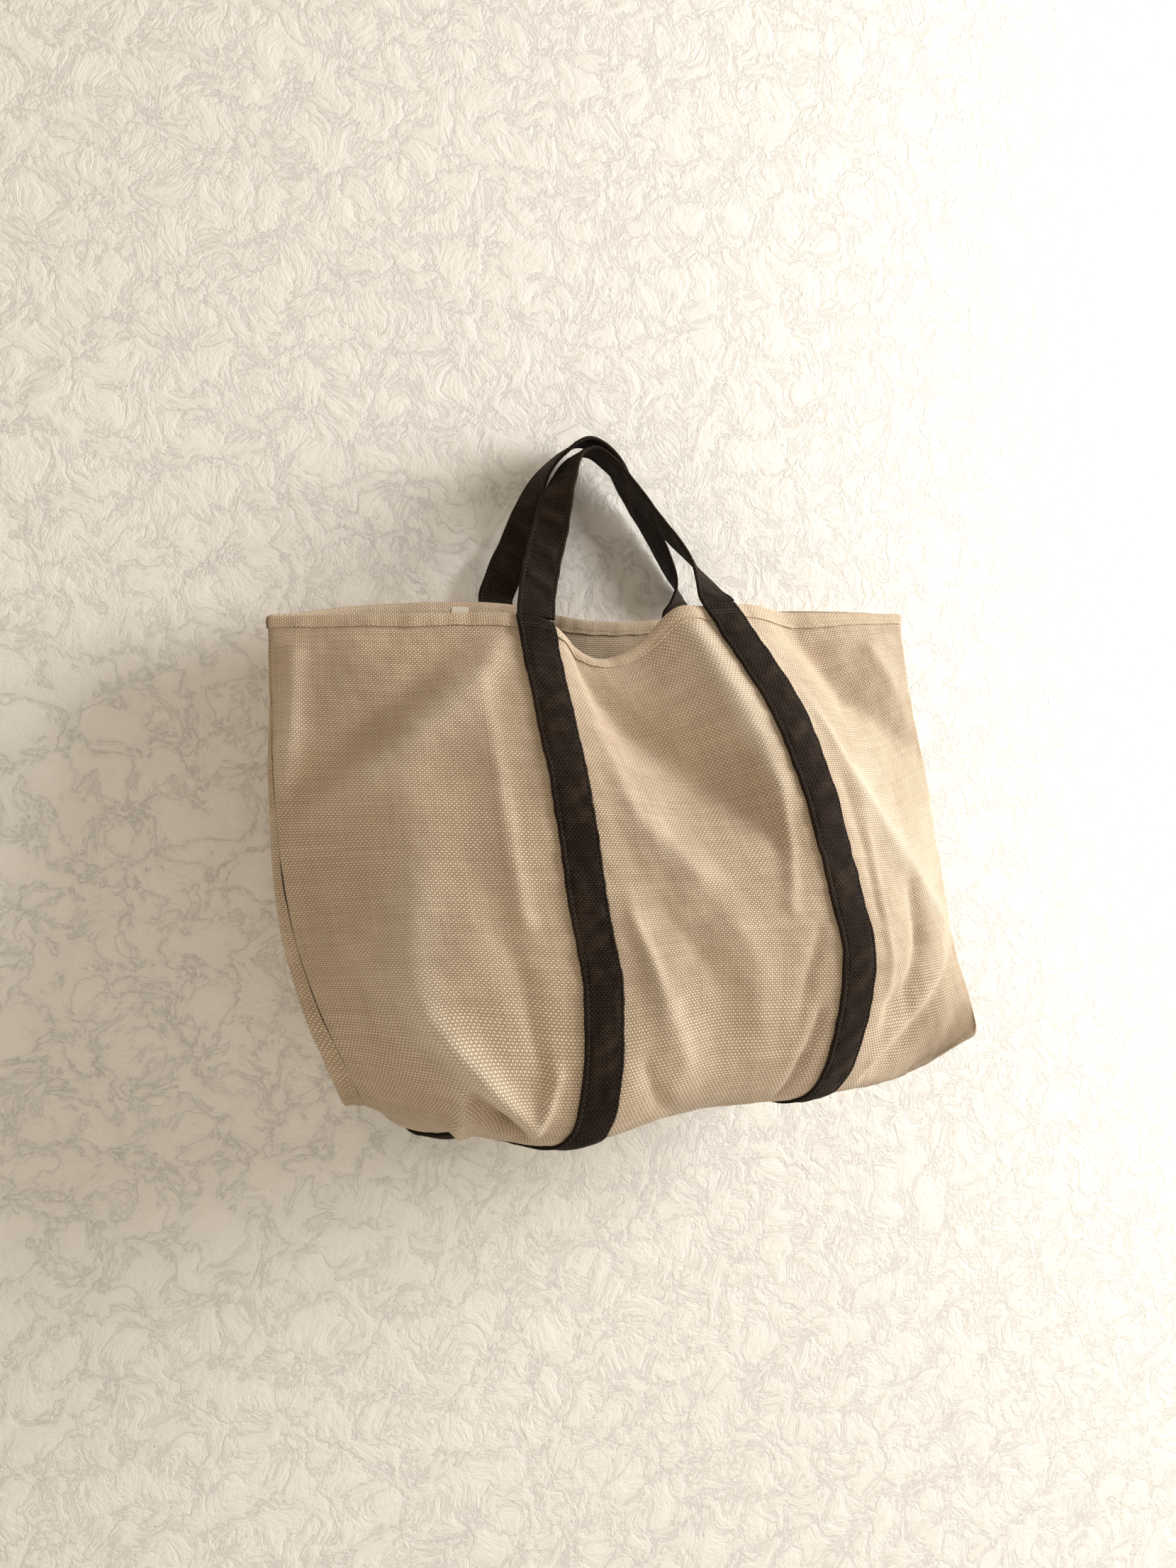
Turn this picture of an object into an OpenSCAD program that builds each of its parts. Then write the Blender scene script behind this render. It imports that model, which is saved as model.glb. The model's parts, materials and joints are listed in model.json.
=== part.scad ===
// Canvas beach bag with two strap handles, hanging from a peg.
// Origin: where the handles bear on the peg. +X to the right, +Z up, the front panel faces -Y.
// The canvas is one soft surface. It is followed by u, from -1 at the left side seam to 1 at the
// right one, and by t, from 0 at the front hem, through 6 at the middle of the base, to 12 at the
// back hem. Every sewn piece is a patch of that surface, raised from it by its own height.

/* [Canvas] */
// Thickness of the canvas
canvas_thickness = 1.4; // [1:0.1:2]
// Clear gap between sewn layers
layer_gap = 0.6; // [0.5:0.1:1]
// Half the distance between the front and back canvas at the side seams
seam_half_gap = 1.1; // [1:0.1:2]

/* [Hem] */
// Height of the folded hem around the mouth
hem_height = 8; // [7:1:16]
// How far the front hem dips between the straps
mouth_dip = 7; // [0:0.5:8]
// How far the front hem rises to a peak beside the right strap
mouth_peak = 8.5; // [0:0.5:10]
// Thickness of one layer of the folded hem
hem_layer = 1.2; // [0.8:0.1:1.6]

/* [Straps] */
// Width of the straps and handles
strap_width = 25; // [20:1:30]
// Thickness of a strap
strap_thickness = 2.4; // [2:0.1:3]

/* [Handles] */
// Thickness of a handle band
handle_thickness = 2.6; // [2:0.1:2.8]
// Gap between the two handle bands on the peg
band_gap = 4.8; // [4.8:0.1:6]

/* [Inside] */
// Width of the bindings over the inside seams
binding_width = 12; // [8:1:14]
// Thickness of the bindings
binding_thickness = 1; // [0.6:0.1:1.2]
// Width of the plain label under the back hem
label_width = 12; // [10:1:40]
// Height of the plain label
label_height = 26; // [15:1:30]

/* [Hidden] */

canvas_colour = "tan";
strap_colour = "#3a2a20";

// Height of one row of the surface, on average, and the canvas's half width.
row_height = 60;
half_width = 240;
// Rows of the surface: base edge at the front, base middle, base edge at the back, back hem.
front_edge_t = 5;
base_t = 6;
back_edge_t = 7;
end_t = 12;
// The straps divide the mouth in three.
strap_u = 1 / 3;
// The back panel swells this much towards the wall.
back_swell = 3;

// Lines down the front from hem to base edge, in order across the bag.
left_seam = [[-223, -30, -130], [-222, -36, -179], [-221, -42, -237], [-214, -48, -306],
    [-199, -55, -361], [-172, -60, -421]];
left_middle = [[-144, -47, -127], [-144, -68, -181], [-143, -85, -237], [-140, -103, -299],
    [-132, -112, -355], [-112, -100, -433]];
left_strap_line = [[-58, -60, -126], [-54, -85, -182], [-48, -103, -237], [-43, -117, -301],
    [-35, -124, -363], [-41, -110, -445]];
centre_line = [[-5, -58, -145], [13, -78, -192], [26, -100, -242], [36, -120, -299],
    [44, -124, -355], [43, -105, -433]];
right_strap_line = [[73, -55, -112], [104, -85, -176], [119, -108, -233], [131, -122, -297],
    [141, -124, -359], [129, -100, -434]];
right_middle = [[151, -44, -111], [175, -62, -173], [185, -82, -233], [195, -100, -296],
    [207, -110, -350], [214, -72, -433]];
right_seam = [[240, -30, -106], [239, -40, -154], [247, -48, -217], [254, -56, -285],
    [259, -66, -348], [276, -70, -407]];
front_lines = [left_seam, left_middle, left_strap_line, centre_line, right_strap_line,
    right_middle, right_seam];
// Middle of the base, and the back panel's hem and base edge, across the bag.
base_middle = [[-168, -54, -425], [-134, -58, -438], [-82, -56, -453], [14, -52, -444],
    [104, -50, -443], [198, -50, -438], [268, -64, -415]];
back_hem_line = [[-146, -4, -115], [-63, 10, -108], [5, 10, -117], [75, 10, -112],
    [160, -2, -104]];
back_edge_line = [[-158, -20, -434], [-120, -4, -457], [-22, 2, -442], [70, 0, -433],
    [182, -25, -428]];

function back_point(c, k) =
    back_hem_line[c] + (back_edge_line[c] - back_hem_line[c]) * k / 5
    + [0, back_swell * sin(180 * k / 5), 0];

// side is -1 for the front canvas and 1 for the back canvas: they are that far apart at the seams.
function seam_point(line, k, side) = line[k] + [0, side * seam_half_gap, 0];
function front_row(k, side) = [
    for (c = [0:6]) c == 0 || c == 6 ? seam_point(front_lines[c], k, side) : front_lines[c][k]
];
function middle_row(side) = [
    for (c = [0:6]) base_middle[c] + (c == 0 || c == 6 ? [0, side * seam_half_gap, 0] : [0, 0, 0])
];
function back_row(k, side) = [
    for (c = [0:6]) c == 0 || c == 6 ? seam_point(front_lines[c], k, side) : back_point(c - 1, k)
];
function surface_net(side) = concat(
    [for (k = [0:5]) front_row(k, side)],
    [middle_row(side)],
    [for (k = [5:-1:0]) back_row(k, side)]
);
front_net = surface_net(-1);
back_net = surface_net(1);

// A smooth curve through a list of points, or of numbers.
function blend4(a, b, c, d, s) =
    (2 * b + (c - a) * s + (2 * a - 5 * b + 4 * c - d) * s * s
    + (3 * b - a - 3 * c + d) * s * s * s) / 2;
function knot(line, i) =
    i < 0 ? 2 * line[0] - line[1]
    : i > len(line) - 1 ? 2 * line[len(line) - 1] - line[len(line) - 2]
    : line[i];
function along(line, x) =
    let (i = min(max(floor(x), 0), len(line) - 2))
    blend4(knot(line, i - 1), knot(line, i), knot(line, i + 1), knot(line, i + 2), x - i);

// A point of the canvas, its unit directions, and a point raised from it by height.
// Between the straps the front hem dips on the left and rises to a peak beside the right strap.
function bell(x, middle, spread) = exp(-pow((x - middle) / spread, 2));
function mouth_wave(u, t) =
    (mouth_peak * bell(u, 0.2, 0.07) - mouth_dip * bell(u, -0.09, 0.17)) * exp(-t / 0.7);
function canvas(net, u, t) =
    let (x = 3 * (u + 1), i = min(max(floor(t), 0), end_t - 1))
    along([for (r = [max(i - 1, 0):min(i + 2, end_t)]) along(net[r], x)], t - max(i - 1, 0))
        + [0, 0, mouth_wave(u, t)];
function unit(v) = v / norm(v);
function per_u(net, u, t) = (canvas(net, u + 0.01, t) - canvas(net, u - 0.01, t)) / 0.02;
function per_t(net, u, t) = (canvas(net, u, t + 0.01) - canvas(net, u, t - 0.01)) / 0.02;
function outward(net, u, t) =
    let (v = min(max(u, -0.98), 0.98))
    unit(cross(per_t(net, v, t), per_u(net, v, t)));
function raised(net, u, t, height) = canvas(net, u, t) + outward(net, u, t) * height;

// A closed sheet from point_at(a, b, top), with a and b from 0 to 1 and top 0 or 1.
module sheet(a_steps, b_steps, point_at) {
    a_count = a_steps + 1;
    layer = a_count * (b_steps + 1);
    points = [
        for (top = [0, 1], j = [0:b_steps], i = [0:a_steps]) point_at(i / a_steps, j / b_steps, top)
    ];
    function id(i, j, top) = top * layer + j * a_count + i;
    function two(a, b, c, d) = [[a, b, c], [a, c, d]];
    faces = [
        for (j = [0:b_steps - 1], i = [0:a_steps - 1]) each concat(
            two(id(i, j, 1), id(i, j + 1, 1), id(i + 1, j + 1, 1), id(i + 1, j, 1)),
            two(id(i, j, 0), id(i + 1, j, 0), id(i + 1, j + 1, 0), id(i, j + 1, 0))
        ),
        for (i = [0:a_steps - 1]) each concat(
            two(id(i, 0, 0), id(i, 0, 1), id(i + 1, 0, 1), id(i + 1, 0, 0)),
            two(id(i, b_steps, 0), id(i + 1, b_steps, 0), id(i + 1, b_steps, 1), id(i, b_steps, 1))
        ),
        for (j = [0:b_steps - 1]) each concat(
            two(id(0, j, 0), id(0, j + 1, 0), id(0, j + 1, 1), id(0, j, 1)),
            two(id(a_steps, j, 0), id(a_steps, j, 1), id(a_steps, j + 1, 1), id(a_steps, j + 1, 0))
        )
    ];
    polyhedron(points = points, faces = faces);
}

// A closed tube of any cross-section, from a list of rings of points.
module rings_solid(rings) {
    n = len(rings[0]);
    last = len(rings) - 1;
    points = [for (ring = rings) each ring];
    faces = concat(
        [
            for (k = [0:last - 1], i = [0:n - 1]) each [
                [k * n + i, (k + 1) * n + i, (k + 1) * n + (i + 1) % n],
                [k * n + i, (k + 1) * n + (i + 1) % n, k * n + (i + 1) % n]
            ]
        ],
        [[for (i = [0:n - 1]) i], [for (i = [n - 1:-1:0]) last * n + i]]
    );
    polyhedron(points = points, faces = faces);
}

function mix(a, b, s) = a + (b - a) * s;
function ease(x) = let (s = min(max(x, 0), 1)) s * s * (3 - 2 * s);

// Heights above the middle of the canvas.
canvas_face = canvas_thickness / 2;
hem_inner = canvas_face + layer_gap;
hem_outer = hem_inner + hem_layer;
strap_low = canvas_face + layer_gap;
strap_high = hem_outer + layer_gap;
inside_face = -canvas_face - 0.4;

module panel(net, from, to, across_steps) {
    sheet(across_steps, 32, function(a, b, top)
        raised(net, mix(-1, 1, a), mix(from, to, b), (top * 2 - 1) * canvas_face));
}

// The canvas stops short of the hem's fold, and at a hair's gap from the middle of the base.
panel_start_t = (hem_layer + layer_gap) / row_height;
middle_gap_t = 0.006;

module front_panel() {
    color(canvas_colour) panel(front_net, panel_start_t, base_t - middle_gap_t, 44);
}

module back_panel() {
    color(canvas_colour) panel(back_net, base_t + middle_gap_t, end_t - panel_start_t, 28);
}

// The hem is a strip folded over the panel's edge: a U lying on its side in height and depth.
hem_t = hem_height / row_height;
fold_t = hem_layer / row_height;
hem_section = [
    [-hem_outer, hem_t], [-hem_outer, 0], [hem_outer, 0], [hem_outer, hem_t],
    [hem_inner, hem_t], [hem_inner, fold_t], [-hem_inner, fold_t], [-hem_inner, hem_t]
];
hem_end_u = 0.975;

module hem(net, edge_t, step) {
    rings_solid([
        for (i = [0:56])
            let (u = mix(-hem_end_u, hem_end_u, i / 56))
            [for (p = hem_section) raised(net, u, edge_t + step * p[1], p[0])]
    ]);
}

module front_hem() {
    color(canvas_colour) hem(front_net, 0, 1);
}

module back_hem() {
    color(canvas_colour) hem(back_net, end_t, -1);
}

// A strap rises over the hem near the mouth. across is from -1 to 1 over its width.
function strap_height(t) =
    let (from_hem = min(t, end_t - t) * row_height)
    mix(strap_high, strap_low, ease((from_hem - hem_height - 1) / 10));
function on_strap(net, u, t, across, height) =
    raised(net, u + across * strap_width / 2 / norm(per_u(net, u, t)), t, height);

module strap(net, u, from, to, steps) {
    sheet(3, steps, function(a, b, top)
        let (t = mix(from, to, b))
        on_strap(net, u, t, 2 * a - 1, strap_height(t) + top * strap_thickness));
}

// The straps stop just below the mouth's edge, where the handles begin.
strap_end_t = 0.5 / row_height;
cut_t = 0.004;

module front_left_strap() {
    color(strap_colour) strap(front_net, -strap_u, strap_end_t, front_edge_t - cut_t, 36);
}

module front_right_strap() {
    color(strap_colour) strap(front_net, strap_u, strap_end_t, front_edge_t - cut_t, 36);
}

module back_left_strap() {
    color(strap_colour) strap(back_net, -strap_u, back_edge_t + cut_t, end_t - strap_end_t, 32);
}

module back_right_strap() {
    color(strap_colour) strap(back_net, strap_u, back_edge_t + cut_t, end_t - strap_end_t, 32);
}

module base_left_strap() {
    color(strap_colour) strap(front_net, -strap_u, front_edge_t + cut_t, back_edge_t - cut_t, 16);
}

module base_right_strap() {
    color(strap_colour) strap(front_net, strap_u, front_edge_t + cut_t, back_edge_t - cut_t, 16);
}

// Bindings lie on the inside of the front canvas, beside the seam that they cover.
seam_inset_u = 4 / half_width;
binding_u = binding_width / half_width;

module seam_binding(side) {
    sheet(2, 40, function(a, b, top)
        raised(front_net, side * (1 - seam_inset_u - a * binding_u), mix(0.3, 4.7, b),
            inside_face - (1 - top) * binding_thickness));
}

module left_seam_binding() {
    color(canvas_colour) seam_binding(-1);
}

module right_seam_binding() {
    color(canvas_colour) seam_binding(1);
}

module base_seam_binding() {
    color(canvas_colour)
        sheet(30, 2, function(a, b, top)
            raised(front_net, mix(-0.72, 0.72, a), base_t - mix(0.2, 0.02, b),
                inside_face - (1 - top) * binding_thickness));
}

module corner_binding(side) {
    sheet(8, 2, function(a, b, top)
        raised(front_net, side * mix(0.78, 0.93, a), mix(5.0, 5.18, b),
            inside_face - (1 - top) * binding_thickness));
}

module left_corner_binding() {
    color(canvas_colour) corner_binding(-1);
}

module right_corner_binding() {
    color(canvas_colour) corner_binding(1);
}

// A row of stitches across each strap holds the handle at the hem.
tack_depth_t = 3 / row_height;
tack_height = 0.5;

module tack(net, u, t) {
    sheet(3, 1, function(a, b, top)
        on_strap(net, u, t + (b - 0.5) * tack_depth_t, (2 * a - 1) * 0.86,
            strap_height(t) + strap_thickness + 0.15 + top * tack_height));
}

module front_tacks() {
    color(strap_colour)
        for (side = [-1, 1]) tack(front_net, side * strap_u, hem_t * 0.8);
}

module back_tacks() {
    color(strap_colour)
        for (side = [-1, 1]) tack(back_net, side * strap_u, end_t - hem_t * 0.8);
}

// The label hangs inside, just under the back hem, left of the left strap.
label_u = -0.45;

module label() {
    color("ivory")
        sheet(4, 4, function(a, b, top)
            raised(back_net, label_u + (a - 0.5) * label_width / half_width,
                end_t - hem_t - 0.03 - b * label_height / row_height,
                inside_face - (1 - top) * 0.6));
}

// Middle line of each handle between its two ends, over the peg. The front band lies on the peg,
// and the back band passes over it.
front_band_z = handle_thickness / 2;
back_band_z = front_band_z + handle_thickness + band_gap;
front_handle_line = [
    [-51, -47, -98], [-44, -38, -79], [-35, -26, -53], [-24, -13, -26], [-12, -4, -7],
    [1, -2, front_band_z], [13, -5, -6], [26, -14, -24], [40, -25, -47], [51, -33, -63],
    [62, -40, -79], [70, -47, -96]
];
back_handle_line = [
    [-63, 14.6, -101], [-58.5, 11.5, -89], [-51, 11.1, -70], [-42.3, 11.4, -44],
    [-32.6, 9.6, -18], [-16, 3.9, 2], [0, 2, back_band_z], [18, 3, -1], [33, 7, -22],
    [50, 9, -46], [61, 10, -64], [71, 11.4, -84], [75, 14, -101]
];
// How far the band has turned at each point: 0 flat to the panel, 90 flat on the peg, 180 flat
// to the panel again.
front_turn = [0, 4, 12, 28, 58, 80, 90, 92, 95, 99, 104, 118, 150, 180];
back_turn = [0, 2, 10, 28, 50, 76, 88, 88, 86, 86, 88, 95, 118, 165, 180];

// A handle's end stands on the strap's end, in line with the strap, with a little room to turn.
handle_end_height = strap_high + strap_thickness / 2 + 0.4;
handle_end_rise = 1.4;
function handle_end(net, u, edge_t) =
    raised(net, u, edge_t, handle_end_height) + [0, 0, handle_end_rise];
function handle_points(net, edge_t, line) = concat(
    [handle_end(net, -strap_u, edge_t)], line, [handle_end(net, strap_u, edge_t)]
);
function handle_ring(points, turns, x) =
    let (
        run = unit(along(points, x + 0.02) - along(points, x - 0.02)),
        turn = along(turns, x),
        wide = [cos(turn), -sin(turn), 0],
        across = unit(wide - run * (wide * run)) * strap_width / 2,
        thick = unit(cross(across, run)) * handle_thickness / 2,
        centre = along(points, x)
    )
    [centre - across - thick, centre + across - thick, centre + across + thick,
        centre - across + thick];

module handle(points, turns) {
    steps = 4 * (len(points) - 1);
    rings_solid([for (i = [0:steps]) handle_ring(points, turns, i / 4)]);
}

module front_handle() {
    color(strap_colour) handle(handle_points(front_net, 0, front_handle_line), front_turn);
}

module back_handle() {
    color(strap_colour) handle(handle_points(back_net, end_t, back_handle_line), back_turn);
}

front_panel();
back_panel();
front_hem();
back_hem();
front_left_strap();
front_right_strap();
back_left_strap();
back_right_strap();
base_left_strap();
base_right_strap();
left_seam_binding();
right_seam_binding();
base_seam_binding();
left_corner_binding();
right_corner_binding();
front_tacks();
back_tacks();
label();
front_handle();
back_handle();
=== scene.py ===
import json
import math

import bpy
import numpy as np
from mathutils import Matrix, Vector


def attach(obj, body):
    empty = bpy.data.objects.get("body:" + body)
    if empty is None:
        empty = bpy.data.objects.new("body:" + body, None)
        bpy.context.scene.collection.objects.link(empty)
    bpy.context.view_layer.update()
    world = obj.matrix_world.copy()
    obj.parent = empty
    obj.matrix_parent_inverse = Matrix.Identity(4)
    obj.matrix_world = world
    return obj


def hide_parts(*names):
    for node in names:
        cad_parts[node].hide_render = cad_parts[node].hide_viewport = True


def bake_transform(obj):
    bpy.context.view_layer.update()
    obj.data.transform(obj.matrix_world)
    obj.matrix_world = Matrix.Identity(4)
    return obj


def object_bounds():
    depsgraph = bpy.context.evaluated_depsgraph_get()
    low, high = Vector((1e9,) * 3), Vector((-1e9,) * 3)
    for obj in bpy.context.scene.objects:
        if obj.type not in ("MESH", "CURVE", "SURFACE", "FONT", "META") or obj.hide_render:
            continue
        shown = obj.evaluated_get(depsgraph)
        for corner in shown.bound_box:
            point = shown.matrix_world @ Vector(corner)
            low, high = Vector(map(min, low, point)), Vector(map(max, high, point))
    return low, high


# A canvas beach bag with two strap handles, hanging against a pale wall. Every sewn piece is
# placed on one soft surface: u runs from -1 at the left side seam to 1 at the right one, and t
# from 0 at the front hem, through 6 at the middle of the base, to 12 at the back hem.

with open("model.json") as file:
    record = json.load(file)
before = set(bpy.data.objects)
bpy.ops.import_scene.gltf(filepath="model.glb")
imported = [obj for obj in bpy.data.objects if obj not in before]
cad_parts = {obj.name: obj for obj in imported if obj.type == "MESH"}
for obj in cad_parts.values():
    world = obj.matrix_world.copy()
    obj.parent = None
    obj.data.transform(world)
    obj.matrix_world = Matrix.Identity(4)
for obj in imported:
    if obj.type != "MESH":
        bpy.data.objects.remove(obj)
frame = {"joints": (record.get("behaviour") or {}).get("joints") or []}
cad_low, cad_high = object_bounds()

MM = 0.001
HALF_WIDTH = 240 * MM
ROW = 60 * MM
SEAM_HALF_GAP = 1.1
BACK_SWELL = 3
BASE_T = 6
END_T = 12
STRAP_U = 1 / 3

CANVAS_FACE = 0.7 * MM
HEM_HEIGHT = 8 * MM
STRAP_HALF_WIDTH = 12.5 * MM
STRAP_HALF_THICK = 1.2 * MM
STITCH_INSET = 9.7 * MM

# The surface's net in millimetres: lines down the front, one across the base, and the hem and
# the lower edge of the back.
LEFT_SEAM = [(-223, -30, -130), (-222, -36, -179), (-221, -42, -237), (-214, -48, -306),
             (-199, -55, -361), (-172, -60, -421)]
LEFT_MIDDLE = [(-144, -47, -127), (-144, -68, -181), (-143, -85, -237), (-140, -103, -299),
               (-132, -112, -355), (-112, -100, -433)]
LEFT_STRAP_LINE = [(-58, -60, -126), (-54, -85, -182), (-48, -103, -237), (-43, -117, -301),
                   (-35, -124, -363), (-41, -110, -445)]
CENTRE_LINE = [(-5, -58, -145), (13, -78, -192), (26, -100, -242), (36, -120, -299),
               (44, -124, -355), (43, -105, -433)]
RIGHT_STRAP_LINE = [(73, -55, -112), (104, -85, -176), (119, -108, -233), (131, -122, -297),
                    (141, -124, -359), (129, -100, -434)]
RIGHT_MIDDLE = [(151, -44, -111), (175, -62, -173), (185, -82, -233), (195, -100, -296),
                (207, -110, -350), (214, -72, -433)]
RIGHT_SEAM = [(240, -30, -106), (239, -40, -154), (247, -48, -217), (254, -56, -285),
              (259, -66, -348), (276, -70, -407)]
FRONT_LINES = [LEFT_SEAM, LEFT_MIDDLE, LEFT_STRAP_LINE, CENTRE_LINE, RIGHT_STRAP_LINE,
               RIGHT_MIDDLE, RIGHT_SEAM]
BASE_MIDDLE = [(-168, -54, -425), (-134, -58, -438), (-82, -56, -453), (14, -52, -444),
               (104, -50, -443), (198, -50, -438), (268, -64, -415)]
BACK_HEM_LINE = [(-146, -4, -115), (-63, 10, -108), (5, 10, -117), (75, 10, -112),
                 (160, -2, -104)]
BACK_EDGE_LINE = [(-158, -20, -434), (-120, -4, -457), (-22, 2, -442), (70, 0, -433),
                  (182, -25, -428)]

# Folds in the cloth: each is a line of (u, t, height, width), height and width in millimetres.
# A ridge has a height above 0 and a valley one below 0.
FOLDS = [
    # Left of the left strap.
    [(-0.44, 0.5, 3, 16), (-0.58, 1.1, 4, 20), (-0.76, 1.8, 4, 20), (-0.98, 2.5, 3, 12)],
    [(-0.56, 0.5, -2, 14), (-0.74, 1.2, -6, 18), (-0.88, 1.9, -4, 16), (-0.97, 2.3, -2, 10)],
    [(-0.93, 0.5, 3, 9), (-0.94, 1.4, 6, 10), (-0.96, 2.0, 3, 8)],
    [(-0.49, 0.9, 1, 8), (-0.48, 2.0, 2.5, 10), (-0.46, 3.2, 2, 9)],
    [(-0.99, 2.8, -2, 26), (-0.99, 3.5, -3, 28), (-0.96, 4.4, -2, 24)],
    [(-0.93, 2.9, -2, 9), (-0.83, 3.5, 2, 10), (-0.80, 4.3, 1.5, 10)],
    [(-0.66, 2.2, 2, 22), (-0.69, 3.0, 5, 23), (-0.72, 3.7, 7, 20), (-0.70, 4.2, 9, 16),
     (-0.60, 4.6, 10, 12), (-0.50, 4.9, 6, 9)],
    [(-0.56, 2.6, -1, 14), (-0.52, 3.4, -3, 14), (-0.47, 4.4, -3, 11)],
    [(-0.64, 4.75, -8, 8), (-0.57, 4.95, -14, 9), (-0.49, 5.15, -8, 8)],
    [(-0.41, 4.5, 3, 6), (-0.46, 4.85, 4, 6), (-0.48, 5.1, 2, 6)],
    [(-0.67, 4.7, 5, 7), (-0.69, 5.1, 7, 8), (-0.62, 5.5, 4, 8)],
    # Between the straps.
    [(-0.24, 0.4, 1, 14), (-0.22, 1.4, 1, 18), (-0.16, 2.2, 4, 20), (-0.02, 2.8, 4, 18)],
    [(-0.17, 0.3, -6, 20), (-0.06, 1.0, -11, 26), (0.08, 1.8, -11, 28), (0.19, 2.5, -4, 20)],
    [(0.24, 0.3, 7, 26), (0.25, 1.2, 7, 28), (0.26, 2.0, 4, 20)],
    [(-0.26, 2.4, 0, 12), (-0.17, 3.0, -1, 16), (-0.05, 3.7, -3, 16), (0.04, 4.3, -1, 14)],
    [(-0.26, 3.2, 2, 8), (-0.21, 3.8, 4, 12), (-0.11, 4.5, 3, 12)],
    [(0.02, 3.0, 1, 14), (0.08, 3.8, 2.5, 16), (0.10, 4.6, 1.5, 14)],
    [(0.26, 2.0, 1.5, 6), (0.24, 2.6, 3, 7), (0.19, 3.2, 2, 7)],
    [(0.27, 3.5, -2, 5), (0.22, 3.9, -2.5, 6), (0.20, 4.3, -1, 6)],
    [(0.28, 4.3, -4, 7), (0.24, 4.7, -4, 7), (0.22, 5.0, -2, 7)],
    [(-0.24, 4.5, -2, 6), (-0.16, 4.8, -3, 6), (-0.10, 5.0, -1, 6)],
    # Right of the right strap.
    [(0.60, 0.3, -9, 24), (0.69, 0.9, -15, 26), (0.86, 1.5, -8, 22), (0.95, 1.8, -2, 14)],
    [(0.84, 0.5, 3, 12), (0.90, 1.0, 2, 12)],
    [(0.40, 1.0, 2, 12), (0.46, 1.7, 4, 16), (0.58, 2.4, 6, 20), (0.70, 3.0, 6, 22),
     (0.80, 3.6, 4, 20)],
    [(0.42, 2.0, -1, 9), (0.43, 2.7, -1.5, 10), (0.41, 3.3, -1, 8)],
    [(0.49, 2.4, 1, 9), (0.46, 3.0, 1.5, 10), (0.43, 3.6, 1.2, 8), (0.43, 4.1, 1, 7)],
    [(0.66, 3.1, -4, 13), (0.62, 3.8, -8, 14), (0.55, 4.2, -6, 13), (0.46, 4.3, -4, 9)],
    [(0.47, 4.90, -4, 8), (0.62, 4.62, -7, 10), (0.80, 4.30, -5, 11), (0.95, 4.05, -2, 10)],
    [(0.44, 4.75, 2, 7), (0.60, 4.38, 4, 9), (0.76, 4.08, 3, 9)],
    # On the back.
    [(-0.45, 11.4, 1, 14), (-0.60, 10.2, 4, 22), (-0.85, 8.6, 3, 18)],
    [(0.05, 11.2, -1, 16), (0.10, 9.8, -3, 24), (0.0, 8.2, -1, 20)],
    [(0.46, 11.3, 1, 14), (0.62, 9.9, 4, 20), (0.84, 8.2, 3, 16)],
]
# How sharp a fold's crest is, and how its flanks fall off.
CREST_ROUNDING = 0.12
FLANK_FALL = 1.4
FLANK_END = 0.5
# The folds die out this close to a side seam, where both panels meet.
SEAM_FADE = 9 * MM


def back_point(column, k):
    low, high = np.array(BACK_HEM_LINE[column], float), np.array(BACK_EDGE_LINE[column], float)
    return low + (high - low) * k / 5 + np.array([0, BACK_SWELL * math.sin(math.pi * k / 5), 0])


def surface_net(side):
    """Rows of the net from the front hem to the back one, with one more row or column all round."""
    seam_shift = np.zeros((7, 3))
    seam_shift[[0, 6], 1] = side * SEAM_HALF_GAP
    front = [np.array([line[k] for line in FRONT_LINES], float) for k in range(6)]
    back = [row.copy() for row in front]
    for k, row in enumerate(back):
        row[1:6] = [back_point(column, k) for column in range(5)]
    rows = np.array(front + [np.array(BASE_MIDDLE, float)] + back[::-1]) + seam_shift
    rows = np.concatenate([2 * rows[:1] - rows[1:2], rows, 2 * rows[-1:] - rows[-2:-1]])
    return np.concatenate(
        [2 * rows[:, :1] - rows[:, 1:2], rows, 2 * rows[:, -1:] - rows[:, -2:-1]], axis=1) * MM


NETS = {-1: surface_net(-1), 1: surface_net(1)}


def knot_weights(x, last):
    """Which knots a smooth curve uses at x, and how much of each."""
    first = np.clip(np.floor(x), 0, last - 1).astype(int)
    s = x - first
    weights = np.stack([-s + 2 * s**2 - s**3, 2 - 5 * s**2 + 3 * s**3,
                        s + 4 * s**2 - 3 * s**3, s**3 - s**2], axis=-1) / 2
    return first, weights


def bell(x, middle, spread):
    return np.exp(-((x - middle) / spread) ** 2)


def ease(x):
    x = np.clip(x, 0, 1)
    return x * x * (3 - 2 * x)


# The mouth's edge peaks and dips between the straps: (u of the middle, spread in u, millimetres).
MOUTH_PEAK = (0.2, 0.07, 8.5)
MOUTH_DIP = (-0.09, 0.17, 7)
MOUTH_WAVE_ROWS = 0.7


def mouth_wave(u, t):
    """How far the cloth near the mouth is raised, in metres. It fades out down the panel."""
    peak_u, peak_spread, peak = MOUTH_PEAK
    dip_u, dip_spread, dip = MOUTH_DIP
    wave = peak * bell(u, peak_u, peak_spread) - dip * bell(u, dip_u, dip_spread)
    return wave * MM * np.exp(-t / MOUTH_WAVE_ROWS)


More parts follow.
